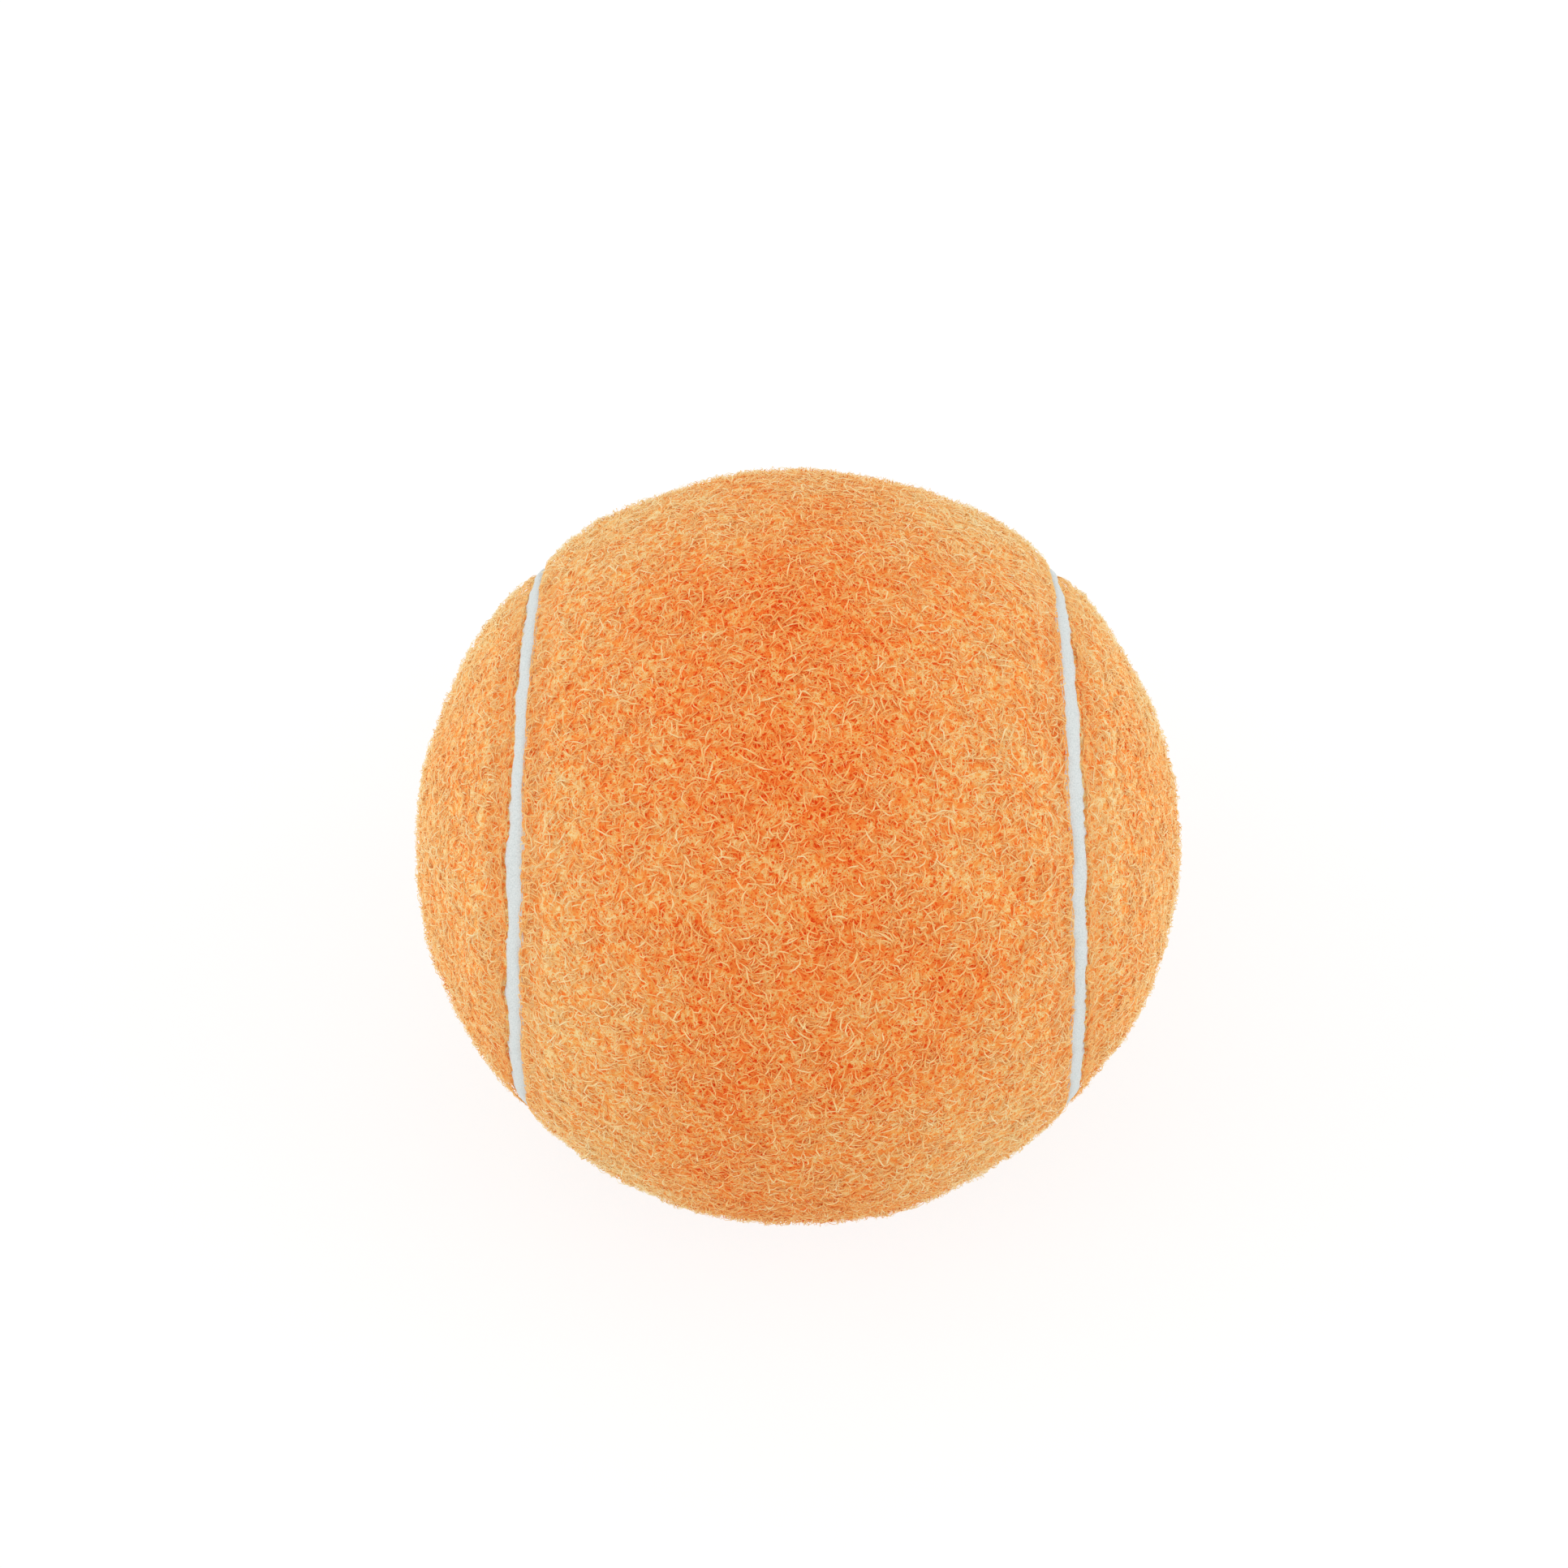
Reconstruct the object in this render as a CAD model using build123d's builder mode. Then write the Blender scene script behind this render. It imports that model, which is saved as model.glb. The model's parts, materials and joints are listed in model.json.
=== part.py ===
"""Tennis ball: a hollow rubber core of two half shells, cemented into two dumbbell-shaped felt panels.

Millimetres, +Z up. The origin is the ball's centre. The upper panel's waist faces +Z and its two lobes
wrap down over +Y and -Y. The lower panel is the same blank: its waist faces -Z, its lobes rise at +X and -X.
"""
from build123d import *
from math import acos, cos, degrees, radians, sin, sqrt
import os

# Driving dimensions of the ball and its layers, from the outside in
ball_diameter = 66.0
felt_thickness = 3.0
backing_thickness = 0.25
coat_thickness = 0.15
core_wall = 3.3

# Joint of the two core halves
joint_thickness = 0.3
joint_bead_height = 0.5
joint_bead_width = 1.6

# Seam between the felt panels
waist_half_angle = 40.5
seam_gap = 1.4
seam_depth = 0.7
shoulder_radius = 5.0
cement_crown = 0.12
cutter_overrun = 1.0

# Radii of the layers, each seated on the next
ball_radius = ball_diameter / 2
backing_radius = ball_radius - felt_thickness
coat_radius = backing_radius - backing_thickness
core_radius = coat_radius - coat_thickness
air_radius = core_radius - core_wall
centre = (0, 0, 0)

# The seam is four equal circular arcs. They meet, tangent to each other, at four points on the equator
# halfway between the X and Y axes, so a half turn about a line through two of those points, or about Z,
# lays the seam on itself. The first arc lies in a plane through its waist point, parallel to Y.
equator_share = sqrt(0.5)
waist = radians(waist_half_angle)
rise = Vector(sin(waist) - equator_share, 0, cos(waist)).normalized()
tilt = Vector(rise.Z, 0, -rise.X)
arc_offset = tilt.X * equator_share
arc_radius = sqrt(1 - arc_offset**2)
foot = Vector(equator_share, 0, 0) - tilt * arc_offset
seam_sweep = 2 * degrees(acos(foot.dot(rise) / arc_radius))
near_corner = Vector(equator_share, equator_share, 0)
far_corner = -near_corner
half_turn = Axis(centre, near_corner)
seam_arcs = [
    (near_corner, Vector(tilt.X, 0, tilt.Z)),
    (far_corner, Vector(-tilt.X, 0, tilt.Z)),
    (near_corner, Vector(0, tilt.X, -tilt.Z)),
    (far_corner, Vector(0, -tilt.X, -tilt.Z)),
]


def section_plane(start, axis):
    """Plane across the seam where an arc starts: local X points out of the ball, local Y across the seam."""
    return Plane(origin=centre, x_dir=start, z_dir=axis.cross(start))


# Section of the groove: two upright felt edges, and above each a long round shoulder that starts at the
# edge's top and runs out tangent to the ball. The shoulder's centre is where a circle about the edge's top
# crosses a circle about the ball's centre.
edge = seam_gap / 2
edge_top = Vector(ball_radius - seam_depth, edge)
shoulder_reach = ball_radius - shoulder_radius
along = (shoulder_reach**2 - shoulder_radius**2 + edge_top.length**2) / (2 * edge_top.length)
aside = sqrt(shoulder_reach**2 - along**2)
outward = edge_top.normalized()
shoulder_centre = outward * along + Vector(-outward.Y, outward.X) * aside
crest = shoulder_centre * (ball_radius / shoulder_reach)
groove_floor = coat_radius - cutter_overrun
groove_mouth = ball_radius + cutter_overrun

# Section of the cement: it stands on the coat and fills the gap up to the felt edges, with a low crown
seat_x = sqrt(coat_radius**2 - edge**2)
cement_top = edge_top.X + cement_crown

# Section of the core: half the joint's thickness is missing from each rim
rim = joint_thickness / 2
rim_outer = sqrt(core_radius**2 - rim**2)
rim_inner = sqrt(air_radius**2 - rim**2)
bead = joint_bead_width / 2
bead_foot = sqrt(air_radius**2 - bead**2)
bead_top = air_radius - joint_bead_height

# Core halves: moulded rubber shells with flat ground rims
with BuildPart() as core_half_upper:
    with BuildSketch(Plane.XZ):
        with BuildLine():
            Line((0, air_radius), (0, core_radius))
            RadiusArc((0, core_radius), (rim_outer, rim), core_radius)
            Line((rim_outer, rim), (rim_inner, rim))
            RadiusArc((rim_inner, rim), (0, air_radius), -air_radius)
        make_face()
    revolve(axis=Axis.Z)

with BuildPart() as core_half_lower:
    add(core_half_upper.part.rotate(Axis.X, 180))

# Joint cement: a thin washer between the rims, squeezed out into a low bead on the inside
with BuildPart() as core_joint_cement:
    with BuildSketch(Plane.XZ):
        with BuildLine():
            Line((rim_inner, rim), (rim_outer, rim))
            RadiusArc((rim_outer, rim), (rim_outer, -rim), core_radius)
            Line((rim_outer, -rim), (rim_inner, -rim))
            RadiusArc((rim_inner, -rim), (bead_foot, -bead), air_radius)
            ThreePointArc((bead_foot, -bead), (bead_top, 0), (bead_foot, bead))
            RadiusArc((bead_foot, bead), (rim_inner, rim), air_radius)
        make_face()
    revolve(axis=Axis.Z)

# Cement coat all over the core
with BuildPart() as core_cement_coat:
    Sphere(coat_radius)
    Sphere(core_radius, mode=Mode.SUBTRACT)

# The groove that parts the two panels, one closed ring of four arcs
with BuildPart() as groove:
    for start, axis in seam_arcs:
        with BuildSketch(section_plane(start, axis)):
            with BuildLine():
                Line((groove_floor, -edge), (edge_top.X, -edge))
                RadiusArc((edge_top.X, -edge), (crest.X, -crest.Y), -shoulder_radius)
                Line((crest.X, -crest.Y), (groove_mouth, -crest.Y))
                Line((groove_mouth, -crest.Y), (groove_mouth, crest.Y))
                Line((groove_mouth, crest.Y), (crest.X, crest.Y))
                RadiusArc((crest.X, crest.Y), (edge_top.X, edge), -shoulder_radius)
                Line((edge_top.X, edge), (groove_floor, edge))
                Line((groove_floor, edge), (groove_floor, -edge))
            make_face()
        revolve(axis=Axis(centre, axis), revolution_arc=seam_sweep)

# Backing coat on the back of each panel
with BuildPart() as panel_backing_upper:
    Sphere(backing_radius)
    Sphere(coat_radius, mode=Mode.SUBTRACT)
    add(groove.part, mode=Mode.SUBTRACT)
    add(panel_backing_upper.solids().sort_by(Axis.Z)[-1], mode=Mode.REPLACE)

with BuildPart() as panel_backing_lower:
    add(panel_backing_upper.part.rotate(half_turn, 180))

# Felt panels: two equal dumbbells, the lower one turned half round a corner axis of the seam
with BuildPart() as felt_panel_upper:
    Sphere(ball_radius)
    Sphere(backing_radius, mode=Mode.SUBTRACT)
    add(groove.part, mode=Mode.SUBTRACT)
    add(felt_panel_upper.solids().sort_by(Axis.Z)[-1], mode=Mode.REPLACE)

with BuildPart() as felt_panel_lower:
    add(felt_panel_upper.part.rotate(half_turn, 180))

# Seam cement: one closed strip, seated on the coat, between the felt edges
with BuildPart() as seam_cement:
    for start, axis in seam_arcs:
        with BuildSketch(section_plane(start, axis)):
            with BuildLine():
                RadiusArc((seat_x, edge), (seat_x, -edge), coat_radius)
                Line((seat_x, -edge), (edge_top.X, -edge))
                ThreePointArc((edge_top.X, -edge), (cement_top, 0), (edge_top.X, edge))
                Line((edge_top.X, edge), (seat_x, edge))
            make_face()
        revolve(axis=Axis(centre, axis), revolution_arc=seam_sweep)

os.makedirs("parts", exist_ok=True)
pieces = {
    "core_half_upper": core_half_upper,
    "core_half_lower": core_half_lower,
    "core_joint_cement": core_joint_cement,
    "core_cement_coat": core_cement_coat,
    "panel_backing_upper": panel_backing_upper,
    "panel_backing_lower": panel_backing_lower,
    "felt_panel_upper": felt_panel_upper,
    "felt_panel_lower": felt_panel_lower,
    "seam_cement": seam_cement,
}
for node, piece in pieces.items():
    piece.part.label = node
    export_step(piece.part, f"parts/{node}.step")
    print(node, "volume", round(piece.part.volume, 1), "mm3")
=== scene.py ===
# %% [markdown]
# # A tennis ball in orange felt
# The solids of this ball are already packed: a rubber core, its cement, two felt panels and the pale seam
# between them. Blender adds what solids can't hold: the woolly nap, the uneven cement and the light.
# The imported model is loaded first, because every later piece takes its size and place from it.

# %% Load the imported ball
import json
import math
import bmesh
import bpy
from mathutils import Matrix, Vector


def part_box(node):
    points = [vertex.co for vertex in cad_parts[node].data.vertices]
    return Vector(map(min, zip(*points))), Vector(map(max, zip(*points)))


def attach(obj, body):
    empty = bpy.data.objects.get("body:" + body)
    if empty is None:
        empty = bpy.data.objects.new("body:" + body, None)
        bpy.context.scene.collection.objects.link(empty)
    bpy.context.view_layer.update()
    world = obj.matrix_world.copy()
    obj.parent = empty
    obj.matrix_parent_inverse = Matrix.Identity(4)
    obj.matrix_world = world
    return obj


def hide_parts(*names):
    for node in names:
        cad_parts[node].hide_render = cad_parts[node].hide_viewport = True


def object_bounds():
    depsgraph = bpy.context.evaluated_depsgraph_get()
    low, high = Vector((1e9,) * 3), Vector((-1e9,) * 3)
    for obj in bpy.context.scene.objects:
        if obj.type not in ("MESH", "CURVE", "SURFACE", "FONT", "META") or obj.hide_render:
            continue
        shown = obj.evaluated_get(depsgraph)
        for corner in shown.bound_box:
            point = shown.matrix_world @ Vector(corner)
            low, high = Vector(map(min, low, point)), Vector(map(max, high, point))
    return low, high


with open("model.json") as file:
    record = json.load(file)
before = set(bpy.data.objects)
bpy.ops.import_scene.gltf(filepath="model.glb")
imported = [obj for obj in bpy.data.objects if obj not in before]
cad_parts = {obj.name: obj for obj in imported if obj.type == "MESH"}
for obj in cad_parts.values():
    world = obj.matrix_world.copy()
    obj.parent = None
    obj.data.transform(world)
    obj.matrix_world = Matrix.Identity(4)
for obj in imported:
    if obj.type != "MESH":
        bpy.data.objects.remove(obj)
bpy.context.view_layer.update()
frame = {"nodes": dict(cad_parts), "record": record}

MM = 0.001
BALL_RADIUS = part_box("felt_panel_upper")[1].y
print("ball radius", round(BALL_RADIUS / MM, 2), "mm,", len(frame["nodes"]), "solids")

# %% [markdown]
# ## Helpers for colours and nodes
# Colours are written as the hex values a paint program shows, and shaders work in linear light, so one
# function converts them. Another adds a node to any node tree, for shaders and for geometry alike: each of
# its inputs is a plain value or the output of an earlier node. Most things on a real ball change softly from
# place to place, so a Map Range node often gets the setting that eases it in and out.

# %% Colours and nodes
SOFT = {"interpolation_type": "SMOOTHSTEP"}


def linear(hex_colour):
    """Linear RGBA from an sRGB hex colour such as "f0a050"."""
    channels = [int(hex_colour[i:i + 2], 16) / 255 for i in (0, 2, 4)]
    return [c / 12.92 if c <= 0.04045 else ((c + 0.055) / 1.055) ** 2.4 for c in channels] + [1.0]


def add_node(tree, kind, inputs=(), **settings):
    """Add a node with its settings and links, and return its outputs. Inputs go by place or by name."""
    node = tree.nodes.new(kind)
    for name, value in settings.items():
        setattr(node, name, value)
    for key, value in inputs.items() if isinstance(inputs, dict) else enumerate(inputs):
        if isinstance(value, bpy.types.NodeSocket):
            tree.links.new(value, node.inputs[key])
        else:
            node.inputs[key].default_value = value
    return node.outputs


print("mid grey 808080 is", round(linear("808080")[0], 3), "in linear light")

# %% [markdown]
# ## Helpers for meshes
# A finished piece is a plain mesh at the origin. A solid's mesh is loose triangles, long ones beside short
# ones, which would bend badly, so a copy of it is joined up and remeshed into small even faces. Geometry
# nodes then shape the copy, and what they give becomes the piece's own mesh.

# %% Pieces and their meshes
SOLID_WELD = 0.001 * MM


def show(name, mesh):
    """Put a mesh into the scene as a new piece at the origin."""
    piece = bpy.data.objects.new(name, mesh)
    bpy.context.scene.collection.objects.link(piece)
    return piece


def remeshed(name, node, voxel):
    """A new piece in the shape of a solid, made of small even faces by its modifier."""
    copy = bmesh.new()
    copy.from_mesh(frame["nodes"][node].data)
    bmesh.ops.remove_doubles(copy, verts=copy.verts, dist=SOLID_WELD)
    mesh = bpy.data.meshes.new(node + "_copy")
    copy.to_mesh(mesh)
    copy.free()
    piece = show(name, mesh)
    remesh = piece.modifiers.new("even_faces", "REMESH")
    remesh.mode = "VOXEL"
    remesh.voxel_size = voxel
    remesh.use_smooth_shade = True
    return piece


def shape(piece, tree):
    """Let a geometry node tree shape a piece, and make what comes out the piece's own mesh."""
    piece.modifiers.new("shape", "NODES").node_group = tree
    graph = bpy.context.evaluated_depsgraph_get()
    mesh = bpy.data.meshes.new_from_object(piece.evaluated_get(graph))
    piece.modifiers.clear()
    piece.data = mesh


def dress(piece, material):
    """Give a piece one material all over."""
    piece.data.materials.clear()
    piece.data.materials.append(material)


print("solids", sorted(frame["nodes"]))

# %% [markdown]
# ## The seam's middle line
# Felt, fibres and cement all need their distance from the seam. The seam is four equal arcs on the ball, so
# its middle line is one vertex on the equator, spun about the axis of each arc in turn. A curve object or
# the edges of the solid could serve too, but the spin takes four short calls and gives an exact line. It
# stays out of the scene: only the geometry nodes below look at it.

# %% Draw the seam's middle line
WAIST_HALF_ANGLE = math.radians(40.5)
ARC_STEPS = 48
LINE_WELD = 0.01 * MM


def seam_line():
    """A closed line of four arcs that meet, tangent to each other, at four points of the equator."""
    share = math.sqrt(0.5)
    rise = Vector((math.sin(WAIST_HALF_ANGLE) - share, 0, math.cos(WAIST_HALF_ANGLE))).normalized()
    tilt = Vector((rise.z, 0, -rise.x))
    offset = tilt.x * share
    foot = Vector((share, 0, 0)) - tilt * offset
    arc = 2 * math.acos(foot.dot(rise) / math.sqrt(1 - offset**2))
    corner = Vector((share, share, 0)) * BALL_RADIUS
    line = bmesh.new()
    for side in (1, -1):
        for axis in (Vector((side * tilt.x, 0, tilt.z)), Vector((0, side * tilt.x, -tilt.z))):
            start = bmesh.ops.create_vert(line, co=corner * side)["vert"]
            bmesh.ops.spin(line, geom=start, cent=(0, 0, 0), axis=axis, angle=arc, steps=ARC_STEPS)
    bmesh.ops.remove_doubles(line, verts=line.verts, dist=LINE_WELD)
    length = sum(edge.calc_length() for edge in line.edges)
    mesh = bpy.data.meshes.new("seam_line")
    line.to_mesh(mesh)
    line.free()
    print("seam line", len(mesh.edges), "edges,", round(length / MM, 1), "mm round")
    return bpy.data.objects.new("seam_line", mesh)


seam_guide = seam_line()

# %% [markdown]
# ## Finding a way on the ball
# Every shape below is a field: a value that geometry nodes work out anew at each point of a mesh. These few
# fields say where a point lies, how far the seam is, and how soft waves run over the ball. They could be
# painted on as vertex groups, but a field is exact everywhere and needs no particular mesh.

# %% Fields for places and waves
# A noise runs from 0 to 1, and nearly all of it lies within this span
NOISE_SPAN = (0.25, 0.75)


def geometry_tree(name):
    """An empty geometry node tree and the mesh that comes into it."""
    tree = bpy.data.node_groups.new(name, "GeometryNodeTree")
    for way in ("INPUT", "OUTPUT"):
        tree.interface.new_socket("Geometry", in_out=way, socket_type="NodeSocketGeometry")
    return tree, add_node(tree, "NodeGroupInput")[0]


def onto_ball(tree, place):
    """The direction of a place from the ball's centre, and the spot on the plain ball in that direction."""
    outward = add_node(tree, "ShaderNodeVectorMath", (place,), operation="NORMALIZE")[0]
    scaled = {0: outward, "Scale": BALL_RADIUS}
    return outward, add_node(tree, "ShaderNodeVectorMath", scaled, operation="SCALE")[0]


def seam_nearest(tree, spot):
    """The nearest point of the seam's middle line, and its distance."""
    line = add_node(tree, "GeometryNodeObjectInfo", (seam_guide,))["Geometry"]
    inputs = {"Geometry": line, "Sample Position": spot}
    found = add_node(tree, "GeometryNodeProximity", inputs, target_element="EDGES")
    return found["Position"], found["Distance"]


def away_from_seam(tree, spot, nearest, length):
    """A step of some length, straight away from the nearest point of the seam."""
    away = add_node(tree, "ShaderNodeVectorMath", (spot, nearest), operation="SUBTRACT")[0]
    away = add_node(tree, "ShaderNodeVectorMath", (away,), operation="NORMALIZE")[0]
    return add_node(tree, "ShaderNodeVectorMath", {0: away, "Scale": length}, operation="SCALE")[0]


def nearness(tree, spot, direction):
    """How nearly a spot faces a direction, or that direction's mirror image in x: 1 where it does."""
    x, y, z = add_node(tree, "ShaderNodeSeparateXYZ", (spot,))
    aside = add_node(tree, "ShaderNodeMath", (x,), operation="ABSOLUTE")[0]
    folded = add_node(tree, "ShaderNodeCombineXYZ", (aside, y, z))[0]
    inputs = (folded, direction / BALL_RADIUS)
    return add_node(tree, "ShaderNodeVectorMath", inputs, operation="DOT_PRODUCT")["Value"]


def add_waves(tree, value, spot, waves):
    """Add soft waves to a value: each has a size, and a height by which it swings up and down."""
    for size, height in waves:
        inputs = {"Vector": spot, "Scale": 1 / size, "Detail": 0}
        noise = add_node(tree, "ShaderNodeTexNoise", inputs)[0]
        wave = add_node(tree, "ShaderNodeMapRange", (noise, *NOISE_SPAN, -height, height))[0]
        value = add_node(tree, "ShaderNodeMath", (value, wave), operation="ADD")[0]
    return value


print("every spot is measured on a ball of", round(2 * BALL_RADIUS / MM, 1), "mm")

# %% [markdown]
# ## The surface of the felt
# Felt is never a true sphere. It stands a little fuller just back from the seam, where the cloth is stretched
# least, and on its two side lobes. It is flatter at one end and at two corners of the seam, it swells and
# sinks in soft lumps all over, and at two other corners its edges close in on the seam. These fields say, for
# any spot on the ball, where the felt ends and how much it stands above or below the plain solid. The lumps
# could be sculpted by hand, but the cloth and every fibre need the same ones, and a field gives them to all,
# so the pile stays rooted however the lumps are tuned.

# %% Fields for the felt's height and edge
PILE_DEPTH = 0.4 * MM
PILE_FADE = (0.8 * MM, 2.8 * MM)
LIP_RISE = 0.12 * MM
SHOULDER_RISE = 0.12 * MM
SHOULDER_NEAR = (1.2 * MM, 3.6 * MM)
SHOULDER_FAR = (5.0 * MM, 12.0 * MM)
LUMPS = ((26 * MM, 0.12 * MM), (9 * MM, 0.14 * MM), (2.4 * MM, 0.12 * MM))
LUMP_FADE = (0.8 * MM, 5.0 * MM)
LUMPS_AT_SEAM = 0.15
# Each form: a direction from the centre, how nearly a spot has to face it, and the height gained there
FORMS = (
    (Vector((0, 0.79, 0.61)), (0.72, 1.0), -0.4 * MM),
    (Vector((0.66, -0.74, -0.12)), (0.86, 1.0), -0.28 * MM),
    (Vector((0.72, -0.685, -0.11)), (0.975, 1.0), -0.28 * MM),
    (Vector((0.95, -0.25, 0.1)), (0.78, 1.0), 0.14 * MM),
)
EDGE_LINE = 0.97 * MM
EDGE_WAVES = ((4.5 * MM, 0.14 * MM), (1.8 * MM, 0.16 * MM), (0.8 * MM, 0.1 * MM))
CLOSED_EDGE = 0.58 * MM
CLOSED_CORNER = Vector((0.668, 0.557, 0.494))
CLOSING_SPAN = (0.92, 1.0)


def felt_rise(tree, spot, distance):
    """How far the felt stands above the plain solid at a spot: lumps and shoulders, less the pile's depth."""
    rise = add_node(tree, "ShaderNodeMapRange", (distance, *PILE_FADE, LIP_RISE, -PILE_DEPTH), **SOFT)[0]
    near = add_node(tree, "ShaderNodeMapRange", (distance, *SHOULDER_NEAR, 0, SHOULDER_RISE), **SOFT)[0]
    far = add_node(tree, "ShaderNodeMapRange", (distance, *SHOULDER_FAR, 1, 0), **SOFT)[0]
    shoulder = add_node(tree, "ShaderNodeMath", (near, far), operation="MULTIPLY")[0]
    rise = add_node(tree, "ShaderNodeMath", (rise, shoulder), operation="ADD")[0]
    lumps = add_waves(tree, 0.0, spot, LUMPS)
    for direction, span, height in FORMS:
        facing = nearness(tree, spot, direction)
        form = add_node(tree, "ShaderNodeMapRange", (facing, *span, 0, height), **SOFT)[0]
        lumps = add_node(tree, "ShaderNodeMath", (lumps, form), operation="ADD")[0]
    calm = add_node(tree, "ShaderNodeMapRange", (distance, *LUMP_FADE, LUMPS_AT_SEAM, 1), **SOFT)[0]
    lumps = add_node(tree, "ShaderNodeMath", (lumps, calm), operation="MULTIPLY")[0]
    return add_node(tree, "ShaderNodeMath", (rise, lumps), operation="ADD")[0]


def felt_edge(tree, spot):
    """The distance from the seam's middle at which the felt ends: wavy, and less at two corners."""
    facing = nearness(tree, spot, CLOSED_CORNER)
    edge = add_node(tree, "ShaderNodeMapRange", (facing, *CLOSING_SPAN, EDGE_LINE, CLOSED_EDGE), **SOFT)[0]
    return add_waves(tree, edge, spot, EDGE_WAVES)


print("pile depth", round(PILE_DEPTH / MM, 2), "mm")
print("lumps of", [round(size / MM, 1) for size, _ in LUMPS], "mm")
print("felt ends about", round(EDGE_LINE / MM, 2), "mm from the middle of the seam")

# %% [markdown]
# ## The felt cloth
# Each panel is a dumbbell of woven wool and nylon, stretched over the core and glued down. A subdivided
# sphere could be cut up for it, but the solid already has the right outline, so a copy of it is remeshed
# into small even faces, and a geometry node tree then lowers its outer skin by the depth of the pile and
# adds the lumps. It needs no cloth simulation, because glue holds every point of it.

# %% Make the two panels of cloth
PANELS = ("upper", "lower")
CLOTH_VOXEL = 0.5 * MM
SEAM_HALF_GAP = 0.7 * MM
LIP_ROUNDING = 0.32 * MM
LIP_SPAN = (0.75 * MM, 2.2 * MM)
SKIN_RADII = (31.0 * MM, 32.2 * MM)


def move_skin(tree, mesh, place, rise, sideways):
    """Raise the outer skin of a mesh and shift it sideways, and leave its inner side where it is."""
    reach = add_node(tree, "ShaderNodeVectorMath", (place,), operation="LENGTH")["Value"]
    skin = add_node(tree, "ShaderNodeMapRange", (reach, *SKIN_RADII, 0, 1), **SOFT)[0]
    outward = onto_ball(tree, place)[0]
    raised = add_node(tree, "ShaderNodeVectorMath", {0: outward, "Scale": rise}, operation="SCALE")[0]
    offset = add_node(tree, "ShaderNodeVectorMath", (raised, sideways), operation="ADD")[0]
    offset = add_node(tree, "ShaderNodeVectorMath", {0: offset, "Scale": skin}, operation="SCALE")[0]
    return add_node(tree, "GeometryNodeSetPosition", {"Geometry": mesh, "Offset": offset})[0]


def cloth_tree():
    """Geometry nodes that shape a panel's skin and bring its rounded lip to the felt's wavy edge."""
    tree, felt = geometry_tree("felt_lumps")
    place = add_node(tree, "GeometryNodeInputPosition")[0]
    spot = onto_ball(tree, place)[1]
    nearest, distance = seam_nearest(tree, spot)
    lip = add_node(tree, "ShaderNodeMapRange", (distance, *LIP_SPAN, 1, 0), **SOFT)[0]
    ends = (felt_edge(tree, spot), SEAM_HALF_GAP + LIP_ROUNDING)
    shift = add_node(tree, "ShaderNodeMath", ends, operation="SUBTRACT")[0]
    shift = add_node(tree, "ShaderNodeMath", (shift, lip), operation="MULTIPLY")[0]
    sideways = away_from_seam(tree, spot, nearest, shift)
    felt = move_skin(tree, felt, place, felt_rise(tree, spot, distance), sideways)
    add_node(tree, "NodeGroupOutput", (felt,))
    return tree


def make_cloth(panel):
    """One panel of bare cloth."""
    piece = remeshed("felt_cloth_" + panel, "felt_panel_" + panel, CLOTH_VOXEL)
    shape(piece, cloth_tree())
    print(piece.name, len(piece.data.polygons), "faces")
    return piece


cloths = {panel: make_cloth(panel) for panel in PANELS}

# %% [markdown]
# ## Where the fibres root
# The nap is what makes a tennis ball woolly: after weaving, the felt is fluffed until thousands of curly
# fibre ends stand up and tangle. Hair particles could draw them, but the model needs real meshes, so
# geometry nodes scatter roots over the cloth and grow short curves on them. Roots stand in small clumps, and
# closer together along the seam. Neighbours lie much the same way, in swirls, but each strays a little. Near
# the seam fibres are shorter and lean away from it, as trimmed felt does.

# %% Scatter the roots and give each its form
SKIN_FACING = 0.35
CLUMP_SIZE = 0.6 * MM
CLUMP_SPAN = (0.34, 0.54)
CROWD_SPAN = (1.0 * MM, 3.0 * MM)
SEAM_CROWD = 2.2
FLOW_SIZE = 4.5 * MM
NOISE_MIDDLE = (0.5, 0.5, 0.5)
LEAN_SPAN = (0.9 * MM, 3.2 * MM)
SEAM_LEAN = 0.15
ROOM_SHARE = 0.9
TRIM_SPAN = (0.8 * MM, 3.0 * MM)
SEAM_TRIM = 0.15


def scatter_roots(tree, felt, layer, seed, place, up, distance):
    """Points on the outer skin of the cloth, in clumps, and crowded along the seam."""
    reach = add_node(tree, "ShaderNodeVectorMath", (place,), operation="LENGTH")["Value"]
    normal = add_node(tree, "GeometryNodeInputNormal")[0]
    facing = add_node(tree, "ShaderNodeVectorMath", (up, normal), operation="DOT_PRODUCT")["Value"]
    outer = add_node(tree, "ShaderNodeMath", (reach, SKIN_RADII[0]), operation="GREATER_THAN")[0]
    outer = add_node(tree, "ShaderNodeMath", (outer, facing), operation="MULTIPLY")[0]
    skin = add_node(tree, "ShaderNodeMath", (outer, SKIN_FACING), operation="GREATER_THAN")[0]
    inputs = {"Vector": place, "Scale": 1 / CLUMP_SIZE, "Detail": 0}
    clump = add_node(tree, "ShaderNodeTexNoise", inputs)[0]
    clump = add_node(tree, "ShaderNodeMapRange", (clump, *CLUMP_SPAN, layer["thin"], 1))[0]
    crowded = SEAM_CROWD * layer["density"]
    crowd = (distance, *CROWD_SPAN, crowded, layer["density"])
    crowd = add_node(tree, "ShaderNodeMapRange", crowd, **SOFT)[0]
    density = add_node(tree, "ShaderNodeMath", (clump, crowd), operation="MULTIPLY")[0]
    inputs = {"Mesh": felt, "Selection": skin, "Density": density, "Seed": seed}
    return add_node(tree, "GeometryNodeDistributePointsOnFaces", inputs)[0]


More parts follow.
